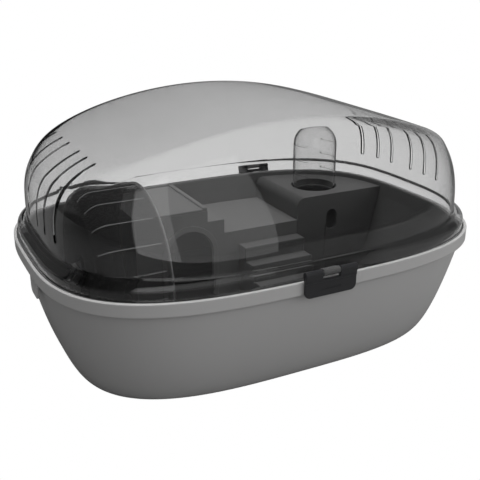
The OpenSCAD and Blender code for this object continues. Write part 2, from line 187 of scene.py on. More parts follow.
def arc(cx, cy, r, start, end, steps=8):
    """Points of a circle's arc, in degrees."""
    t = np.radians(np.linspace(start, end, steps + 1))
    return np.stack([cx + r * np.cos(t), cy + r * np.sin(t)], -1)


def prism(name, outline, axis, low, high, edge=0.0, segments=3):
    """A flat outline carried straight along an axis from low to high, its edges rounded.
    The outline's two numbers are the other two axes in the order X, Y, Z."""
    outline = np.asarray(outline, float)
    n = len(outline)
    area = np.sum(outline[:, 0] * np.roll(outline[:, 1], -1) - np.roll(outline[:, 0], -1) * outline[:, 1])
    if area < 0:
        outline = outline[::-1]
    k = "xyz".index(axis)
    others = [m for m in range(3) if m != k]
    flat = np.zeros((2 * n, 3))
    flat[:n, k], flat[n:, k] = low, high
    flat[:, others] = np.vstack([outline, outline])
    i = np.arange(n)
    j = (i + 1) % n
    sides = np.stack([i, j, n + j, n + i], -1)
    low_cap, high_cap = i[::-1], n + i
    if axis == "y":
        sides, low_cap, high_cap = sides[:, ::-1], low_cap[::-1], high_cap[::-1]
    made = solid(name, flat, sides.tolist() + [low_cap.tolist(), high_cap.tolist()])
    if edge:
        round_edges(made, edge, segments)
    return made


def round_edges(made, edge, segments=3):
    """Bevel of the sharp edges, with the flat faces kept flat in the shading."""
    bevel = made.modifiers.new("edges", "BEVEL")
    bevel.width = edge
    bevel.segments = segments
    bevel.limit_method = "ANGLE"
    bevel.angle_limit = math.radians(32)
    bevel.use_clamp_overlap = True
    normals = made.modifiers.new("normals", "WEIGHTED_NORMAL")
    normals.keep_sharp = True


def box_outline(x0, y0, x1, y1):
    return [(x0, y0), (x1, y0), (x1, y1), (x0, y1)]


def joined(name, parts):
    """Several meshes as one object, with their modifiers applied."""
    graph = bpy.context.evaluated_depsgraph_get()
    flat, faces, base = [], [], 0
    for part in parts:
        mesh = part.evaluated_get(graph).to_mesh()
        co = np.empty(len(mesh.vertices) * 3)
        mesh.vertices.foreach_get("co", co)
        flat.append(co.reshape(-1, 3))
        faces += [[base + v for v in p.vertices] for p in mesh.polygons]
        base += len(mesh.vertices)
        part.evaluated_get(graph).to_mesh_clear()
    for part in parts:
        bpy.data.objects.remove(part)
    made = solid(name, np.vstack(flat), faces)
    normals = made.modifiers.new("normals", "WEIGHTED_NORMAL")
    normals.keep_sharp = True
    return made


def cut(made, cutters, sharp=30, keep="DIFFERENCE"):
    """Takes the cutters away from a mesh, or keeps only what they share with it, with the
    new edges crisp."""
    bpy.context.view_layer.update()
    tool = joined("cutters", cutters)
    tool.modifiers.clear()
    step = made.modifiers.new("cut", "BOOLEAN")
    step.operation = keep
    step.solver = "EXACT"
    step.object = tool
    bpy.context.view_layer.update()
    graph = bpy.context.evaluated_depsgraph_get()
    mesh = bpy.data.meshes.new_from_object(made.evaluated_get(graph))
    made.modifiers.remove(step)
    old = made.data
    made.data = mesh
    mesh.name = made.name
    bpy.data.meshes.remove(old)
    bpy.data.objects.remove(tool)
    mesh.shade_smooth()
    mesh.set_sharp_from_angle(angle=math.radians(sharp))
    return made


# ---------------------------------------------------------------- finishes
def group_sockets(group, inputs, outputs):
    """Number sockets of a node group: the inputs with their usual values, and the outputs."""
    for name, value in inputs.items():
        socket = group.interface.new_socket(name=name, in_out="INPUT", socket_type="NodeSocketFloat")
        socket.default_value = value
    for name in outputs:
        group.interface.new_socket(name=name, in_out="OUTPUT", socket_type="NodeSocketFloat")


def node(tree, kind, at, **values):
    made = tree.nodes.new(kind)
    made.location = at
    for name, value in values.items():
        setattr(made, name, value)
    return made


def moulded_grain():
    """Fine spark-eroded grain of moulded plastic. Height is two noises, one fine and one
    coarser; Shade wanders by Spread about 1; Roughness wanders about its middle."""
    g = bpy.data.node_groups.new("moulded_grain", "ShaderNodeTree")
    group_sockets(g, {"Grains per metre": 2600.0, "Spread": 0.05, "Roughness": 0.45, "Roughness spread": 0.06},
                  ("Height", "Shade", "Roughness"))
    start = node(g, "NodeGroupInput", (-800, 0))
    end = node(g, "NodeGroupOutput", (600, 0))
    place = node(g, "ShaderNodeTexCoord", (-800, 300))
    fine = node(g, "ShaderNodeTexNoise", (-500, 300))
    fine.inputs["Detail"].default_value = 2.0
    g.links.new(place.outputs["Object"], fine.inputs["Vector"])
    g.links.new(start.outputs["Grains per metre"], fine.inputs["Scale"])
    wide = node(g, "ShaderNodeTexNoise", (-500, 0))
    wide.inputs["Scale"].default_value = 9.0
    wide.inputs["Detail"].default_value = 3.0
    g.links.new(place.outputs["Object"], wide.inputs["Vector"])
    g.links.new(fine.outputs["Fac"], end.inputs["Height"])
    centred = node(g, "ShaderNodeMath", (-250, 0), operation="SUBTRACT")
    centred.inputs[1].default_value = 0.5
    g.links.new(wide.outputs["Fac"], centred.inputs[0])
    shade = node(g, "ShaderNodeMath", (0, 0), operation="MULTIPLY_ADD")
    shade.inputs[2].default_value = 1.0
    g.links.new(centred.outputs[0], shade.inputs[0])
    g.links.new(start.outputs["Spread"], shade.inputs[1])
    g.links.new(shade.outputs[0], end.inputs["Shade"])
    rough = node(g, "ShaderNodeMath", (0, -200), operation="MULTIPLY_ADD")
    g.links.new(centred.outputs[0], rough.inputs[0])
    g.links.new(start.outputs["Roughness spread"], rough.inputs[1])
    g.links.new(start.outputs["Roughness"], rough.inputs[2])
    g.links.new(rough.outputs[0], end.inputs["Roughness"])
    return g


GRAIN = moulded_grain()
GRAIN_RELIEF = 0.015 * MM


def satin_plastic(name, colour, roughness):
    """Moulded plastic: its colour drifts a little, and the grain gives it a soft gloss."""
    material = bpy.data.materials.new(name)
    material.use_nodes = True
    tree = material.node_tree
    shader = tree.nodes["Principled BSDF"]
    grain = node(tree, "ShaderNodeGroup", (-700, 0), node_tree=GRAIN)
    grain.inputs["Spread"].default_value = 0.08
    grain.inputs["Roughness"].default_value = roughness
    shaded = node(tree, "ShaderNodeMix", (-350, 150), data_type="RGBA", blend_type="MULTIPLY")
    shaded.inputs["Factor"].default_value = 1.0
    shaded.inputs["A"].default_value = (*colour, 1)
    tree.links.new(grain.outputs["Shade"], shaded.inputs["B"])
    tree.links.new(shaded.outputs["Result"], shader.inputs["Base Color"])
    tree.links.new(grain.outputs["Roughness"], shader.inputs["Roughness"])
    bump = node(tree, "ShaderNodeBump", (-350, -250))
    bump.inputs["Strength"].default_value = 0.4
    bump.inputs["Distance"].default_value = GRAIN_RELIEF
    tree.links.new(grain.outputs["Height"], bump.inputs["Height"])
    tree.links.new(bump.outputs["Normal"], shader.inputs["Normal"])
    return material


ACRYLIC_IOR = 1.49


def clear_plastic(name, colour, lamp_colour):
    """Polished clear plastic with a faint tint that drifts a little. Rays from lamps go
    straight through, so that they light what is inside."""
    material = bpy.data.materials.new(name)
    material.use_nodes = True
    tree = material.node_tree
    shader = tree.nodes["Principled BSDF"]
    shader.inputs["Transmission Weight"].default_value = 1.0
    shader.inputs["IOR"].default_value = ACRYLIC_IOR
    grain = node(tree, "ShaderNodeGroup", (-700, 0), node_tree=GRAIN)
    grain.inputs["Spread"].default_value = 0.03
    grain.inputs["Roughness"].default_value = 0.012
    grain.inputs["Roughness spread"].default_value = 0.01
    shaded = node(tree, "ShaderNodeMix", (-350, 150), data_type="RGBA", blend_type="MULTIPLY")
    shaded.inputs["Factor"].default_value = 1.0
    shaded.inputs["A"].default_value = (*colour, 1)
    tree.links.new(grain.outputs["Shade"], shaded.inputs["B"])
    tree.links.new(shaded.outputs["Result"], shader.inputs["Base Color"])
    tree.links.new(grain.outputs["Roughness"], shader.inputs["Roughness"])
    path = node(tree, "ShaderNodeLightPath", (-100, 400))
    through = node(tree, "ShaderNodeBsdfTransparent", (0, -250))
    through.inputs["Color"].default_value = (*lamp_colour, 1)
    mix = node(tree, "ShaderNodeMixShader", (350, 100))
    tree.links.new(path.outputs["Is Shadow Ray"], mix.inputs["Fac"])
    tree.links.new(shader.outputs["BSDF"], mix.inputs[1])
    tree.links.new(through.outputs["BSDF"], mix.inputs[2])
    tree.links.new(mix.outputs[0], tree.nodes["Material Output"].inputs["Surface"])
    return material


def smoke_plastic(name, colour, edge, cover):
    """Polished plastic so dark that it bends little of what is seen through it: each of
    its surfaces covers a share of what lies behind, and more of it at grazing angles.
    Where the mesh's own attribute ridge is set, the colour turns to edge and the surface is made solid: a
    painted highlight on thin raised edges."""
    material = bpy.data.materials.new(name)
    material.use_nodes = True
    tree = material.node_tree
    shader = tree.nodes["Principled BSDF"]
    shader.inputs["Specular IOR Level"].default_value = 0.1
    grain = node(tree, "ShaderNodeGroup", (-700, 0), node_tree=GRAIN)
    grain.inputs["Spread"].default_value = 0.06
    grain.inputs["Roughness"].default_value = 0.16
    grain.inputs["Roughness spread"].default_value = 0.03
    shaded = node(tree, "ShaderNodeMix", (-350, 150), data_type="RGBA", blend_type="MULTIPLY")
    shaded.inputs["Factor"].default_value = 1.0
    shaded.inputs["A"].default_value = (*colour, 1)
    tree.links.new(grain.outputs["Shade"], shaded.inputs["B"])
    tree.links.new(grain.outputs["Roughness"], shader.inputs["Roughness"])
    slant = node(tree, "ShaderNodeLayerWeight", (-700, -300))
    slant.inputs["Blend"].default_value = 0.3
    share = node(tree, "ShaderNodeMapRange", (-450, -300))
    share.inputs["To Min"].default_value = cover
    share.inputs["To Max"].default_value = 0.85
    tree.links.new(slant.outputs["Facing"], share.inputs["Value"])
    ridge = node(tree, "ShaderNodeAttribute", (-700, -500), attribute_name="ridge")
    solid_share = node(tree, "ShaderNodeMath", (-200, -350), operation="MAXIMUM")
    tree.links.new(share.outputs["Result"], solid_share.inputs[0])
    tree.links.new(ridge.outputs["Fac"], solid_share.inputs[1])
    tree.links.new(solid_share.outputs[0], shader.inputs["Alpha"])
    # Painted highlight: the colour is mixed towards edge where the attribute ridge is set.
    painted_highlight_mix = node(tree, "ShaderNodeMix", (-150, 200), data_type="RGBA")
    painted_highlight_mix.inputs["B"].default_value = (*edge, 1)
    tree.links.new(ridge.outputs["Fac"], painted_highlight_mix.inputs["Factor"])
    tree.links.new(shaded.outputs["Result"], painted_highlight_mix.inputs["A"])
    tree.links.new(painted_highlight_mix.outputs["Result"], shader.inputs["Base Color"])
    return material


def drawn_steel(name):
    """Bright steel with fine lines drawn along X."""
    material = bpy.data.materials.new(name)
    material.use_nodes = True
    tree = material.node_tree
    shader = tree.nodes["Principled BSDF"]
    shader.inputs["Metallic"].default_value = 1.0
    place = node(tree, "ShaderNodeTexCoord", (-900, 0))
    stretch = node(tree, "ShaderNodeMapping", (-700, 0))
    stretch.inputs["Scale"].default_value = (60, 4000, 4000)
    lines = node(tree, "ShaderNodeTexNoise", (-500, 0))
    lines.inputs["Scale"].default_value = 1.0
    tree.links.new(place.outputs["Object"], stretch.inputs["Vector"])
    tree.links.new(stretch.outputs["Vector"], lines.inputs["Vector"])
    rough = node(tree, "ShaderNodeMapRange", (-250, -100))
    rough.inputs["To Min"].default_value = 0.18
    rough.inputs["To Max"].default_value = 0.42
    tree.links.new(lines.outputs["Fac"], rough.inputs["Value"])
    tree.links.new(rough.outputs["Result"], shader.inputs["Roughness"])
    tone = node(tree, "ShaderNodeMix", (-250, 150), data_type="RGBA")
    tone.inputs["A"].default_value = (0.52, 0.52, 0.53, 1)
    tone.inputs["B"].default_value = (0.66, 0.66, 0.67, 1)
    tree.links.new(lines.outputs["Fac"], tone.inputs["Factor"])
    tree.links.new(tone.outputs["Result"], shader.inputs["Base Color"])
    return material


TUB_GREY = satin_plastic("tub_grey", (0.28, 0.278, 0.277), 0.42)
LINER_DARK = satin_plastic("liner_dark", (0.062, 0.062, 0.062), 0.34)
# Painted light: the liner's plastic made lighter for the house, its roof and door frame, standing in for the
# brighter light they get.
LINER_PAINTED_LIGHT = satin_plastic("liner_painted_light", (0.092, 0.092, 0.0915), 0.38)
CLIP_BLACK = satin_plastic("clip_black", (0.012, 0.012, 0.013), 0.36)
BUSH_WHITE = satin_plastic("bush_white", (0.74, 0.74, 0.71), 0.5)
CLEAR_SMOKE = clear_plastic("clear_smoke", (0.81, 0.81, 0.81), (0.9, 0.9, 0.9))
TUBE_CLEAR = clear_plastic("tube_clear", (0.95, 0.95, 0.95), (0.95, 0.95, 0.95))
LUG_SMOKE = smoke_plastic("lug_smoke", (0.05, 0.05, 0.05), (0.2, 0.2, 0.2), 0.8)
# The wheel's (0.2, 0.2, 0.2) is the colour of the painted highlight on its grips, their dots and its rolled
# rim.
WHEEL_SMOKE = smoke_plastic("wheel_smoke", (0.01, 0.01, 0.01), (0.2, 0.2, 0.2), 0.46)
PIN_STEEL = drawn_steel("pin_steel")


def piece(made, body, slot, material, *nodes):
    """Gives a piece its finish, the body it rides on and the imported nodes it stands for."""
    made.data.materials.clear()
    made.data.materials.append(material)
    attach(made, body)
    if nodes:
        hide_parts(*nodes)
    return made


# ---------------------------------------------------------------- tub and liner
def tub_half(z):
    """Half length and half depth of the tub's outside at height z: the wall opens as the
    0.62 power of height."""
    g = (np.maximum(z, 0) / BAND_Z) ** 0.62
    a = FOOT_A + (RIM_A - BAND_STEP - FOOT_A) * g
    b = FOOT_B + (RIM_B - BAND_STEP - FOOT_B) * g
    return a, b


def wall_rows(z, inset):
    a, b = tub_half(z)
    return np.stack([a - inset, b - inset, z], -1)


def rim_rows(offsets):
    """Rows beside the rim's largest oval: each offset is (distance inwards, height)."""
    d, z = np.asarray(offsets, float).T
    return np.stack([RIM_A - d, RIM_B - d, z], -1)


def base_tub():
    r, lip = 1.4 * MM, 1.1 * MM
    rise = BAND_Z * np.linspace(0.02, 1, 56) ** 2
    foot_a, foot_b = tub_half(0.0)
    foot = [(foot_a - d * MM, foot_b - d * MM, 0) for d in (40, 12, 3, 1)]
    band = np.vstack([
        [(BAND_STEP - 0.4 * MM, BAND_Z + 0.1 * MM), (r + 1.2 * MM, BAND_Z + 0.35 * MM)],
        arc(-r, 0, r, -90, 0, 6) * (-1, 1) + (0, BAND_Z + 0.4 * MM + r),
        np.stack([np.zeros(6), np.linspace(BAND_Z + 3 * MM, RIM_Z - 2.2 * MM, 6)], -1),
        arc(-lip, 0, lip, 0, 90, 6) * (-1, 1) + (0, RIM_Z - lip),
        [(2.4 * MM, RIM_Z)],
        arc(3.5 * MM - 0.5 * MM, RIM_Z - 0.5 * MM, 0.5 * MM, 90, 0, 3),
        [(3.5 * MM, RIM_Z - 2 * MM), (3.5 * MM, REBATE_Z), (BAND_STEP + TUB_WALL, REBATE_Z)]])
    inner = wall_rows(BAND_Z * np.linspace(0.98, 0.18, 20) ** 2, TUB_WALL)
    floor = [(foot_a - d * MM, foot_b - d * MM, TUB_WALL) for d in (3, 12, 60)]
    rings = oval_rings(np.vstack([foot, wall_rows(rise, 0), rim_rows(band), inner, floor]), TUB_N)
    made = solid("tub_shell", *closed_grid(rings))
    piece(made, "tub", "tub_grey", TUB_GREY, "base_tub")


def grip_tongue(side):
    """A tongue below the band, rounded at its two lower corners."""
    middle, half, r, low, high = side * 20 * MM, 16 * MM, 8 * MM, 101 * MM, BAND_Z + 3 * MM
    x = side * (RIM_A - 3 * MM)
    outline = np.vstack([arc(half - r, low + r, r, -90, 0), [(half, high), (-half, high)],
                         arc(r - half, low + r, r, 180, 270)]) + (middle, 0)
    made = prism("grip_left" if side < 0 else "grip_right", outline, "x",
                 *sorted((x, x - side * 3 * MM)), 1.2 * MM)
    piece(made, "tub", "tub_grey", TUB_GREY)


def inner_tray():
    outer, inner = TUB_WALL + GAP, TUB_WALL + GAP + LINER
    top = FLANGE_Z + LINER
    rise = BAND_Z * np.linspace(0.25, 1, 30) ** 2
    foot_a, foot_b = tub_half(0.0)
    under = [(foot_a - outer - d * MM, foot_b - outer - d * MM, outer) for d in (60, 12, 2)]
    flange = rim_rows(np.vstack([
        [(BAND_STEP + outer, FLANGE_Z - 0.1 * MM), (4 * MM, FLANGE_Z), (4 * MM, top - 0.5 * MM)],
        [(4.5 * MM, top), (BAND_STEP + inner - 1.6 * MM, top)],
        arc(BAND_STEP + inner - 1.5 * MM, top - 1.5 * MM, 1.5 * MM, 80, 0, 5)]))
    down = wall_rows(BAND_Z * np.linspace(0.99, 0.36, 40) ** 2, inner)
    a, b = tub_half(BAND_Z * 0.36 ** 2)
    q = np.radians(np.linspace(0, 90, 12))[1:]
    corner = np.stack([a - inner - 9 * MM * (1 - np.cos(q)), b - inner - 9 * MM * (1 - np.cos(q)),
                       FLOOR_Z + (BAND_Z * 0.36 ** 2 - FLOOR_Z) * (1 - np.sin(q))], -1)
    floor = [(foot_a - inner - d * MM, foot_b - inner - d * MM, FLOOR_Z) for d in (12, 40, 90)]
    rings = oval_rings(np.vstack([under, wall_rows(rise, outer), flange, down, corner, floor]), TUB_N)
    made = solid("liner", *closed_grid(rings), sharp=60)
    piece(made, "tub", "liner_dark", LINER_DARK, "inner_tray")


# ---------------------------------------------------------------- lid
def roof_height(x, m):
    """Height of the roof: it falls with the square of x and crowns towards the middle."""
    return ROOF_Z - ROOF_FALL * x * x + CROWN * (1 - m * m)


def end_share(t):
    """1 at the lid's two ends and 0 along its front and rear."""
    return np.abs(superellipse(t, WALL_N)[:, 0]) ** 6


def wall_ring(t, s, w):
    """The wall at share s of its height (one share per direction), inset by w: it leaves
    its foot upright and leans in as a power of the share."""
    u, v, end = superellipse(t, WALL_N), superellipse(t, ROOF_N), end_share(t)
    f = (s ** (1.8 + 2.8 * end))[:, None]
    foot = u * (WALL_A - w, WALL_B - w)
    edge = v * (ROOF_A - w, ROOF_B - w)
    z = WALL_Z + (roof_height(edge[:, 0], 1) - w - WALL_Z) * s
    return np.column_stack([foot + (edge - foot) * f, z])


def roof_ring(t, m, w):
    v = superellipse(t, ROOF_N) * (ROOF_A - w, ROOF_B - w) * np.reshape(m, (-1, 1))
    return np.column_stack([v, roof_height(v[:, 0], m) - w])


def edge_ring(t, q, w):
    """The rounded meeting of wall and roof: a quadratic curve, tight along the front and
    the rear and wide at the ends."""
    end = end_share(t)
    a = wall_ring(t, 0.94 - 0.09 * end, w)
    b = wall_ring(t, np.ones_like(t), w)
    c = roof_ring(t, 0.94 - 0.03 * end, w)
    return a * (1 - q) ** 2 + b * 2 * q * (1 - q) + c * q * q


def ledge_ring(t, q, w):
    """The ledge from the wall's foot (q = 0) out and down to the skirt (q = 1): a quarter
    of an ellipse between the two ovals."""
    foot = superellipse(t, WALL_N) * (WALL_A - w, WALL_B - w)
    skirt = superellipse(t, TUB_N) * (SKIRT_A - w, SKIRT_B - w)
    turn = q * np.pi / 2
    z = np.full_like(t, WALL_Z - w - LEDGE_DROP * (1 - np.cos(turn)))
    return np.column_stack([foot + (skirt - foot) * np.sin(turn), z])


def lid_skin(t, w):
    """One skin of the lid from the skirt's foot to the middle of the roof, inset by w."""
    end = end_share(t)
    skirt = superellipse(t, TUB_N) * (SKIRT_A - w, SKIRT_B - w)
    bottom = SKIRT_Z + 0.6 * MM
    rows = [np.column_stack([skirt, np.full_like(t, bottom + (WALL_Z - LEDGE_DROP - w - bottom) * h)])
            for h in (0, 0.3, 0.6, 0.85)]
    rows += [ledge_ring(t, q, w) for q in np.linspace(1, 0.3, 12)]
    top = 0.94 - 0.09 * end
    fillet = ledge_ring(t, 0.3, w), ledge_ring(t, 0.0, w), wall_ring(t, 0.035 * top, w)
    rows += [fillet[0] * (1 - q) ** 2 + fillet[1] * 2 * q * (1 - q) + fillet[2] * q * q
             for q in np.linspace(0.16, 1, 6)]
    rows += [wall_ring(t, s * top, w) for s in np.linspace(0.035, 1, 26)[1:-1]]
    rows += [edge_ring(t, q, w) for q in np.linspace(0, 1, 15)]
    rows += [roof_ring(t, m * (0.94 - 0.03 * end), w) for m in np.linspace(1, 0.03, 20)[1:]]
    return np.stack(rows)


SLOT_ROW = (-72 * MM, -42 * MM, -12 * MM, 31 * MM, 61 * MM, 91 * MM)
SLOT_HALF = 2.4 * MM
SLOT_NEAR = 210 * MM
SLOT_FAR = 290 * MM
SLOT_Z = 180 * MM


def vent_slot(side, y):
    """A slab with full-round edges that cuts one slot through an end of the lid."""
    outline = box_outline(y - SLOT_HALF, SLOT_Z, y + SLOT_HALF, ROOF_Z + 20 * MM)
    ends = sorted((side * (SLOT_NEAR - SLOT_HALF), side * SLOT_FAR))
    return prism("slot", outline, "x", *ends, SLOT_HALF * 0.98, 4)


def lid_dome():
    t = np.linspace(0, 2 * np.pi, AROUND, endpoint=False)
    outer, inner = lid_skin(t, 0.0), lid_skin(t, LID_T)
    unit = superellipse(t, TUB_N)
    lip = [np.column_stack([unit * (SKIRT_A - d, SKIRT_B - d), np.full_like(t, SKIRT_Z + h)])
           for d, h in ((2.2 * MM, 0.15 * MM), (1.8 * MM, 0), (0.6 * MM, 0), (0.15 * MM, 0.2 * MM))]
    rings = np.concatenate([inner[::-1], np.stack(lip), outer])
    made = solid("dome", *closed_grid(rings))
    cut(made, [vent_slot(side, y) for side in (-1, 1) for y in SLOT_ROW])
    piece(made, "lid", "clear_smoke", CLEAR_SMOKE, "lid_dome")


# ---------------------------------------------------------------- furniture
HOUSE_X0, HOUSE_X1 = roof_low.x, roof_high.x
HOUSE_Z = roof_high.z - 2 * MM
PANEL = 3.2 * MM
STEP_RISE = 20 * MM
SHELF_Z = HOUSE_Z - 19 * MM
DECK_Z = HOUSE_Z - 39 * MM
DECK_X = HOUSE_X1 + 25 * MM
TOWER_X = tower_low.x
TOWER_Z = tower_high.z
SHEET = 2.5 * MM
BASE = FLOOR_Z + GAP
TUBE_X, TUBE_Y = (tube_low.x + tube_high.x) / 2, (tube_low.y + tube_high.y) / 2
DOOR_X, DOOR_R, DOOR_Z = HOUSE_X1 - 27 * MM, 34 * MM, 80 * MM


def liner_plug(inset, top):
    """A solid that fills the liner's inside up to a height, less a clearance."""
    clear = TUB_WALL + GAP + LINER + inset
    a, b = tub_half(BAND_Z * 0.36 ** 2)
    q = np.radians(np.linspace(90, 0, 10))[:-1]
    low = BAND_Z * 0.36 ** 2
    corner = np.stack([a - clear - 9 * MM * (1 - np.cos(q)), b - clear - 9 * MM * (1 - np.cos(q)),
                       BASE + (low - BASE) * (1 - np.sin(q))], -1)
    wall = wall_rows(np.linspace(low, top, 14), clear)
    rings = oval_rings(np.vstack([corner, wall]), TUB_N, 160)
    return solid("plug", *closed_grid(rings))


def furniture_line(inset):
    """Front view of house, shelf and platform above the floor, drawn in X and Z."""
    top = HOUSE_Z - PANEL - inset
    return [(HOUSE_X0 + inset, BASE - 1 * MM), (HOUSE_X0 + inset, top), (HOUSE_X1 - inset, top),
            (HOUSE_X1 - inset, SHELF_Z - inset), (DECK_X - inset, SHELF_Z - inset),
            (DECK_X - inset, DECK_Z - inset), (TOWER_X - GAP - inset, DECK_Z - inset),
            (TOWER_X - GAP - inset, BASE - 1 * MM)]


def arch_outline(r):
    return np.vstack([[(DOOR_X - r, BASE - 2 * MM)], [(DOOR_X + r, BASE - 2 * MM)],
                      arc(DOOR_X, DOOR_Z, r, 0, 180, 36)])


def house_and_platform():
    made = prism("house_and_platform", furniture_line(0), "y", FRONT, FRONT + 150 * MM)
    cut(made, [liner_plug(0.4 * MM, HOUSE_Z + 10 * MM)], keep="INTERSECT")
    cut(made, [prism("hollow", furniture_line(SHEET), "y", FRONT + SHEET, FRONT + 110 * MM)])
    cut(made, [prism("doorway", arch_outline(DOOR_R), "y", FRONT - 5 * MM, FRONT + 6 * MM)])
    round_edges(made, 1.1 * MM)
    # The house wears the lighter copy of the liner plastic: painted light.
    piece(made, "tub", "liner_dark", LINER_PAINTED_LIGHT, "house_block")
    frame_out, frame_in = arch_outline(DOOR_R + 7.5 * MM), arch_outline(DOOR_R)
    lip = np.vstack([frame_out[1:], frame_out[:1], frame_in[:1], frame_in[:0:-1]])
    made = prism("door_frame", lip, "y", FRONT - 2.2 * MM, FRONT + 1 * MM, 1.0 * MM)
    piece(made, "tub", "liner_dark", LINER_PAINTED_LIGHT)


def house_roof():
    back = FRONT + 124 * MM
    panel = prism("panel", box_outline(HOUSE_X0, FRONT, HOUSE_X1, back), "z", HOUSE_Z - PANEL, HOUSE_Z,
                  1.0 * MM)
    lip = prism("lip", box_outline(HOUSE_X1 - 7 * MM, FRONT, HOUSE_X1, back), "z", HOUSE_Z - 1.5 * MM,
                HOUSE_Z + 2 * MM, 1.2 * MM)
    bpy.context.view_layer.update()
    made = joined("house_roof_panel", [panel, lip])
    piece(made, "tub", "liner_dark", LINER_PAINTED_LIGHT, "house_roof")


def stair_block():
    x0, x1, going = stair_low.x, stair_high.x, 22 * MM
    y = FRONT - GAP
    outline = [(y, BASE), (y, DECK_Z - STEP_RISE)]
    for k in range(4):
        z = DECK_Z - (k + 1) * STEP_RISE
        outline += [(FRONT - (k + 1) * going, z), (FRONT - (k + 1) * going, z - STEP_RISE if k < 3 else BASE)]
    made = prism("steps", outline, "x", x0, x1, 1.3 * MM)
    piece(made, "tub", "liner_dark", LINER_DARK, "stair_block")


def tower_line(inset):
    """Front view of the tower, drawn in X and Z, with its top left edge rounded."""
    r = 12 * MM
    left, top = TOWER_X + inset, TOWER_Z - inset
    return np.vstack([[(left, BASE - 1 * MM)], arc(left + r, top - r, r, 180, 90, 10),
                      [(RIM_A, top)], [(RIM_A, BASE - 1 * MM)]])


def tower_block():
    x, y, r = TUBE_X, TUBE_Y, 34 * MM
    made = prism("tower", tower_line(0), "y", FRONT, FRONT + 150 * MM)
    cut(made, [liner_plug(2.0 * MM, TOWER_Z + 10 * MM)], keep="INTERSECT")
    hollow = prism("hollow", tower_line(SHEET), "y", FRONT + SHEET, FRONT + 130 * MM)
    cut(hollow, [liner_plug(4.5 * MM, TOWER_Z + 10 * MM)], keep="INTERSECT")
    cut(made, [hollow])
    hole = spun("hole", [(TOWER_Z - 20 * MM, r), (TOWER_Z + 5 * MM, r)], (x, y), 72)
    peep_x, peep_r, low, high = 179 * MM, 9 * MM, 90 * MM, 103 * MM
    peep = np.vstack([arc(peep_x, high, peep_r, 0, 180, 16), arc(peep_x, low, peep_r, 180, 360, 16)])
    cut(made, [hole, prism("peep", peep, "y", FRONT - 5 * MM, FRONT + 6 * MM)])
    seam = box_outline(peep_x - peep_r - 1.9 * MM, BASE + 8 * MM, peep_x - peep_r - 0.9 * MM, low)
    cut(made, [prism("seam", seam, "y", FRONT - 2 * MM, FRONT + 1 * MM)])
    round_edges(made, 0.9 * MM)
    piece(made, "tub", "liner_dark", LINER_DARK, "tower_block")
    wall, low = 2.5 * MM, TOWER_Z - 11 * MM
    high, shelf = TOWER_Z - 1.5 * MM, low + 2 * MM
    socket = np.array([(low, r - 4 * MM), (low, r + wall), (high, r + wall), (high, r), (shelf, r),
                       (shelf, r - 4 * MM)])
    rings = spun_rings(socket, (x, y), "z", count=72)
    made = solid("tube_socket", *closed_grid(rings, "join"), sharp=30)
    piece(made, "tub", "liner_dark", LINER_DARK)


def spun(name, profile, centre, count=96, axis="z"):
    """A closed solid of revolution whose two ends are flat discs."""
    return solid(name, *closed_grid(spun_rings(profile, centre, axis, count=count)), sharp=30)


def lookout_tube():
    """A tube with a domed top: outer skin up, over the dome, and the inner skin down."""
    x, y, r, t, low = TUBE_X, TUBE_Y, tube_high.x - TUBE_X, 2 * MM, tube_low.z
    spring = tube_high.z - r
    q = np.radians(np.linspace(0, 88, 24))

    def dome(radius):
        return np.stack([spring + radius * np.sin(q), radius * np.cos(q)], -1)

    outer = np.vstack([[(low, r - 1.4 * MM), (low, r - 0.5 * MM), (low + 0.4 * MM, r)],
                       [(low + (spring - low) * h, r) for h in (0.2, 0.4, 0.6, 0.8)], dome(r)])
    inner = np.vstack([dome(r - t)[::-1], [(low + (spring - low) * h, r - t) for h in (0.8, 0.6, 0.4, 0.2)],
                       [(low + 0.4 * MM, r - t)]])
    up = closed_grid(spun_rings(outer, (x, y), "z", count=96), "open", "fan")
    down = closed_grid(spun_rings(inner, (x, y), "z", count=96), "fan", "open")
    columns, n_up = 96, len(up[0])
    faces = up[1] + [[v + n_up for v in f] for f in down[1]]
    last = n_up + (len(inner) - 1) * columns
    j = np.arange(columns)
    k = (j + 1) % columns
    faces += np.stack([last + j, last + k, k, j], -1).tolist()
    made = solid("lookout", np.vstack([up[0], down[0]]), faces)
    sides = [box_outline(x + side * r - 8 * MM, y - 21 * MM, x + side * r + 8 * MM, y + 21 * MM)
             for side in (-1, 1)]
    cut(made, [prism("slot", outline, "z", z * MM - 1 * MM, z * MM + 1 * MM)
               for z in (157, 179, 201) for outline in sides])
    piece(made, "lookout", "clear_smoke", TUBE_CLEAR, "lookout_tube")


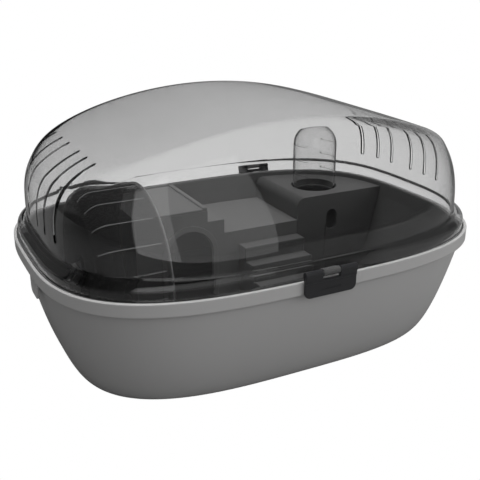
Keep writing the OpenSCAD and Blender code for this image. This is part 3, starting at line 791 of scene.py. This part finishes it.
# ---------------------------------------------------------------- wheel
def wheel_drum():
    """A drum round X: rolled rim, running surface with raised grips, shoulder, closed
    side. Each grip is a ridge that ends in a round dot on the shoulder."""
    x0, x1 = drum_low.x, drum_high.x
    r = (drum_high.z - drum_low.z) / 2
    centre = (0, 0, (drum_high.z + drum_low.z) / 2)
    wall, shoulder, bead = 2 * MM, 20 * MM, 2.6 * MM
    running = np.stack([np.linspace(x1 - bead - 0.4 * MM, x0 + shoulder, 26), np.full(26, r)], -1)
    round_out = arc(x0 + shoulder, r - shoulder, shoulder, 90, 180, 30)[1:]
    side = np.stack([np.full(5, x0), np.linspace(r - shoulder, 14 * MM, 6)[1:]], -1)
    outer = np.vstack([running, round_out, side])
    inner = np.vstack([[(x0 + wall, 14 * MM), (x0 + wall, 40 * MM)],
                       arc(x0 + shoulder, r - shoulder, shoulder - wall, 180, 90, 20),
                       [(x0 + 40 * MM, r - wall), (x1 - bead - 3 * MM, r - wall)]])
    roll = arc(x1 - bead, r - bead, bead, -140, 90, 16)
    profile = np.vstack([outer, inner, roll])
    pitch = 18
    near = np.array([-1.5, -0.8, -0.5, -0.25, 0, 0.25, 0.5, 0.8, 1.5, 3.5, 6, 9, 12, 14.5])
    grips = np.arange(20) * pitch + 3.2
    angles = np.radians((grips[:, None] + near[None]).ravel())
    rings = spun_rings(profile, centre, "x", angles)
    step = np.linalg.norm(np.diff(outer, axis=0), axis=1)
    run = np.concatenate([[0], np.cumsum(step)])
    start, end = 5 * MM, 78 * MM
    along = np.clip((run - start) / (1.5 * MM), 0, 1) * np.clip((end - run) / (1.5 * MM), 0, 1)
    off = np.tile(near, 20) * np.pi / 180 * r
    ridge = np.exp(-(off / (0.75 * MM)) ** 2)
    dot = np.exp(-((run[:, None] - end) ** 2 + off[None] ** 2) / (1.2 * MM) ** 2)
    rise = 0.8 * MM * np.maximum(along[:, None] * ridge[None], 1.3 * dot)
    outward = np.zeros((len(outer), 2))
    outward[:26] = (0, 1)
    round_n = (outer[26:56] - (x0 + shoulder, r - shoulder)) / shoulder
    outward[26:56] = round_n
    outward[56:] = (-1, 0)
    rings[:len(outer), :, 0] += rise * outward[:, :1]
    rings[:len(outer), :, 1] += rise * outward[:, 1:] * np.cos(angles)[None]
    rings[:len(outer), :, 2] += rise * outward[:, 1:] * np.sin(angles)[None]
    made = solid("wheel", *closed_grid(rings, "join"))
    # Painted highlight: the grips, their dots and the rolled rim (0.55) get the attribute ridge, which the
    # finish turns lighter and solid.
    light = np.zeros(rings.shape[:2])
    light[:len(outer)] = np.maximum(along[:, None] * ridge[None] ** 2, dot)
    light[-len(roll) + 4:] = 0.55
    made.data.attributes.new("ridge", "FLOAT", "POINT").data.foreach_set("value", light.ravel())
    piece(made, "wheel", "wheel_smoke", WHEEL_SMOKE, "wheel_drum")


# ---------------------------------------------------------------- clips
KNUCKLE_R = 3.8 * MM
LUG_W = 21 * MM
PIN_Z = RIM_Z + 8 * MM
CLIP_T = 3 * MM
LATCH_Y = -(RIM_B + 2.2 * MM)
HINGE_X = 123 * MM
HINGE_Y = RIM_B - 1.8 * MM
HINGE_FACE = 200.9 * MM
HINGE_TILT = 7.3


def clip_plate(width, face, low):
    """Plate with round lower corners, drawn at the origin of X with its outer face towards
    -Y."""
    r, top, half = 7 * MM, RIM_Z + 0.6 * MM, width / 2
    outline = np.vstack([arc(half - r, low + r, r, -90, 0, 8), [(half, top), (-half, top)],
                         arc(r - half, low + r, r, 180, 270, 8)])
    return prism("plate", outline, "y", face - CLIP_T, face, 0.7 * MM)


def clip_knuckles(width, face, foot, inwards):
    """Two arms with a knuckle each, either side of the lug. Each arm stands on a foot at
    the height foot, which reaches inwards past the face."""
    arm = (width - LUG_W) / 2 - 0.5 * MM
    outline = np.vstack([arc(face - CLIP_T / 2, PIN_Z, KNUCKLE_R, -30, 210, 22),
                         [(face - CLIP_T, foot), (face + inwards, foot)]])
    return [prism("knuckle", outline, "x", *sorted((s * width / 2, s * (width / 2 - arm))), 0.6 * MM)
            for s in (-1, 1)]


def latch_clip():
    width, face = latch_high.x - latch_low.x, LATCH_Y + CLIP_T / 2
    plate = clip_plate(width, face, latch_low.z)
    groove = box_outline(-12 * MM, 131 * MM, 12 * MM, 133.4 * MM)
    cut(plate, [prism("groove", groove, "y", face - 5 * MM, face - 2.2 * MM)])
    plate.modifiers.clear()
    parts = [plate, *clip_knuckles(width, face, RIM_Z - 1.4 * MM, 0.0)]
    bar = box_outline(face - 3.8 * MM, RIM_Z - 1.8 * MM, face - 2 * MM, RIM_Z + 0.6 * MM)
    parts.append(prism("bar", bar, "x", -width / 2, width / 2, 0.6 * MM))
    bpy.context.view_layer.update()
    made = joined("latch", parts)
    piece(made, "latch", "clip_black", CLIP_BLACK, "latch_clip")


def hinge_clip(side):
    """A rear clip: its plate lies on the band, which turns a little there, and its
    knuckles share one axis with the other clip's."""
    name = "hinge_clip_left" if side < 0 else "hinge_clip_right"
    width, x = 50 * MM, side * HINGE_X
    plate = clip_plate(width, 0.0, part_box(name)[0].z)
    bar = prism("bar", box_outline(-2.8 * MM, RIM_Z - 1 * MM, -0.2 * MM, RIM_Z + 2.9 * MM), "x",
                -LUG_W / 2 - 1 * MM, LUG_W / 2 + 1 * MM, 0.4 * MM)
    knuckles = clip_knuckles(width, CLIP_T / 2 - HINGE_Y, RIM_Z + 0.1 * MM, 3.2 * MM)
    turn = math.radians(180 - side * HINGE_TILT)
    on_band = Matrix.Translation((x, HINGE_FACE, 0)) @ Matrix.Rotation(turn, 4, "Z")
    to_rear = Matrix.Translation((x, 0, 0)) @ Matrix.Rotation(math.pi, 4, "Z")
    for part, place in ((plate, on_band), (bar, on_band), (knuckles[0], to_rear), (knuckles[1], to_rear)):
        part.data.transform(place)
    bpy.context.view_layer.update()
    made = joined(name + "_shape", [plate, bar, *knuckles])
    piece(made, "tub", "clip_black", CLIP_BLACK, name)


def lid_lug(name, x, y, out):
    """The clear lug that a clip's pin passes through, joined to the skirt by a web."""
    r = KNUCKLE_R
    reach = (RIM_B - 4.4 * MM) * out
    near = y - out * 1.0 * MM
    low, high = sorted((reach, near))
    barrel = prism("barrel", arc(y, PIN_Z, r, 0, 360, 28)[:-1], "x", x - LUG_W / 2, x + LUG_W / 2, 0.5 * MM)
    web = prism("web", box_outline(low, PIN_Z - 2 * MM, high, PIN_Z + 2 * MM), "x",
                x - LUG_W / 2, x + LUG_W / 2, 0.4 * MM)
    bpy.context.view_layer.update()
    cut(barrel, [web], keep="UNION")
    barrel.name = name
    piece(barrel, "lid", "clear_smoke", LUG_SMOKE)


# ---------------------------------------------------------------- studio
def unbent(tree):
    """1 on rays that have met nothing, or only gone through clear plastic, and 0 on rays
    that light or mirror something."""
    path = node(tree, "ShaderNodeLightPath", (-900, 300))
    scattered = node(tree, "ShaderNodeMath", (-700, 300), operation="ADD")
    tree.links.new(path.outputs["Diffuse Depth"], scattered.inputs[0])
    tree.links.new(path.outputs["Glossy Depth"], scattered.inputs[1])
    straight = node(tree, "ShaderNodeMath", (-500, 300), operation="LESS_THAN")
    straight.inputs[1].default_value = 0.5
    tree.links.new(scattered.outputs[0], straight.inputs[0])
    return straight.outputs[0], path.outputs["Diffuse Depth"]


def backdrop():
    """White all round where it is seen, and a soft grey room for lighting and gloss."""
    world = bpy.data.worlds.new("studio")
    bpy.context.scene.world = world
    world.use_nodes = True
    tree = world.node_tree
    white = tree.nodes["Background"]
    white.inputs["Color"].default_value = (1, 1, 1, 1)
    place = node(tree, "ShaderNodeTexCoord", (-900, -200))
    split = node(tree, "ShaderNodeSeparateXYZ", (-700, -200))
    tree.links.new(place.outputs["Generated"], split.inputs["Vector"])
    behind = node(tree, "ShaderNodeVectorMath", (-700, -400), operation="DOT_PRODUCT")
    behind.inputs[1].default_value = (0.7, 0.7, 0)
    tree.links.new(place.outputs["Generated"], behind.inputs[0])
    rooms = []
    for k, (way, start, end, below, above) in enumerate(((split.outputs["Z"], -0.6, 0.9, 0.22, 0.45),
                                                        (behind.outputs["Value"], 0.72, 1.0, 0.03, 0.45))):
        grade = node(tree, "ShaderNodeMapRange", (-450, -200 - 300 * k), interpolation_type="SMOOTHSTEP")
        grade.inputs["From Min"].default_value = start
        grade.inputs["From Max"].default_value = end
        grade.inputs["To Min"].default_value = below
        grade.inputs["To Max"].default_value = above
        tree.links.new(way, grade.inputs["Value"])
        room = node(tree, "ShaderNodeBackground", (-200, -200 - 300 * k))
        tree.links.new(grade.outputs["Result"], room.inputs["Strength"])
        rooms.append(room)
    straight, diffuse = unbent(tree)
    lit = node(tree, "ShaderNodeMixShader", (50, -200))
    tree.links.new(diffuse, lit.inputs["Fac"])
    tree.links.new(rooms[1].outputs[0], lit.inputs[1])
    tree.links.new(rooms[0].outputs[0], lit.inputs[2])
    mix = node(tree, "ShaderNodeMixShader", (250, 0))
    tree.links.new(straight, mix.inputs["Fac"])
    tree.links.new(lit.outputs[0], mix.inputs[1])
    tree.links.new(white.outputs[0], mix.inputs[2])
    tree.links.new(mix.outputs[0], tree.nodes["World Output"].inputs["Surface"])


def pale_floor():
    """White where it is seen; for other rays a grey floor that glows a little behind the
    cage."""
    floor = solid("floor", [(-6, -6, 0), (6, -6, 0), (6, 6, 0), (-6, 6, 0)], [(0, 1, 2, 3)])
    material = bpy.data.materials.new("floor_white")
    material.use_nodes = True
    tree = material.node_tree
    shader = tree.nodes["Principled BSDF"]
    shader.inputs["Base Color"].default_value = (0.1, 0.1, 0.1, 1)
    shader.inputs["Roughness"].default_value = 0.9
    place = node(tree, "ShaderNodeTexCoord", (-700, -300))
    split = node(tree, "ShaderNodeSeparateXYZ", (-500, -300))
    tree.links.new(place.outputs["Object"], split.inputs["Vector"])
    behind = node(tree, "ShaderNodeMapRange", (-300, -300))
    behind.inputs["From Min"].default_value = 0.4
    behind.inputs["From Max"].default_value = 1.2
    behind.inputs["To Max"].default_value = 0.12
    tree.links.new(split.outputs["Y"], behind.inputs["Value"])
    shader.inputs["Emission Color"].default_value = (1, 1, 1, 1)
    tree.links.new(behind.outputs["Result"], shader.inputs["Emission Strength"])
    glow = node(tree, "ShaderNodeEmission", (0, -300))
    mix = node(tree, "ShaderNodeMixShader", (250, 0))
    tree.links.new(unbent(tree)[0], mix.inputs["Fac"])
    tree.links.new(shader.outputs[0], mix.inputs[1])
    tree.links.new(glow.outputs[0], mix.inputs[2])
    tree.links.new(mix.outputs[0], tree.nodes["Material Output"].inputs["Surface"])
    floor.data.materials.append(material)


def softbox(name, at, aim, size, power, in_gloss=False):
    """A rectangular studio light that the camera doesn't see. With in_gloss it is mirrored
    by polished plastic."""
    lamp = bpy.data.lights.new(name, "AREA")
    lamp.shape = "RECTANGLE"
    lamp.size, lamp.size_y = size
    lamp.energy = power
    made = bpy.data.objects.new(name, lamp)
    bpy.context.scene.collection.objects.link(made)
    made.location = at
    made.rotation_euler = (Vector(aim) - Vector(at)).to_track_quat("-Z", "Y").to_euler()
    made.visible_camera = False
    made.visible_glossy = in_gloss
    made.visible_transmission = in_gloss


base_tub()
grip_tongue(-1)
grip_tongue(1)
inner_tray()
house_and_platform()
house_roof()
stair_block()
tower_block()
lookout_tube()
wheel_drum()
lid_dome()
latch_clip()
hinge_clip(-1)
hinge_clip(1)
lid_lug("latch_lug", 0.0, LATCH_Y, -1)
lid_lug("hinge_lug_left", -HINGE_X, HINGE_Y, 1)
lid_lug("hinge_lug_right", HINGE_X, HINGE_Y, 1)
FINISHES = {"tub_grey": TUB_GREY, "liner_dark": LINER_DARK, "clip_black": CLIP_BLACK,
            "bush_white": BUSH_WHITE, "clear_smoke": CLEAR_SMOKE, "wheel_smoke": WHEEL_SMOKE,
            "pin_steel": PIN_STEEL}
for name, made in frame["nodes"].items():
    slot = next(s["material_slot"] for s in frame["record"]["subparts"] if s["node"] == name)
    made.data.materials.clear()
    made.data.materials.append(FINISHES[slot])

backdrop()
pale_floor()
softbox("overhead", (0.0, 0.1, 1.5), (0, 0, 0.1), (1.6, 1.2), 42)
softbox("front_right", (1.6, -1.6, 0.8), (0, 0, 0.1), (1.6, 1.4), 30)
softbox("front_wide", (-0.47, -1.6, 1.1), (-0.47, 0, 1.1), (2.05, 2.2), 8.5, True)
softbox("front_near", (-1.0, -1.55, 1.1), (-1.0, 0, 1.1), (1.0, 2.2), 4.2, True)
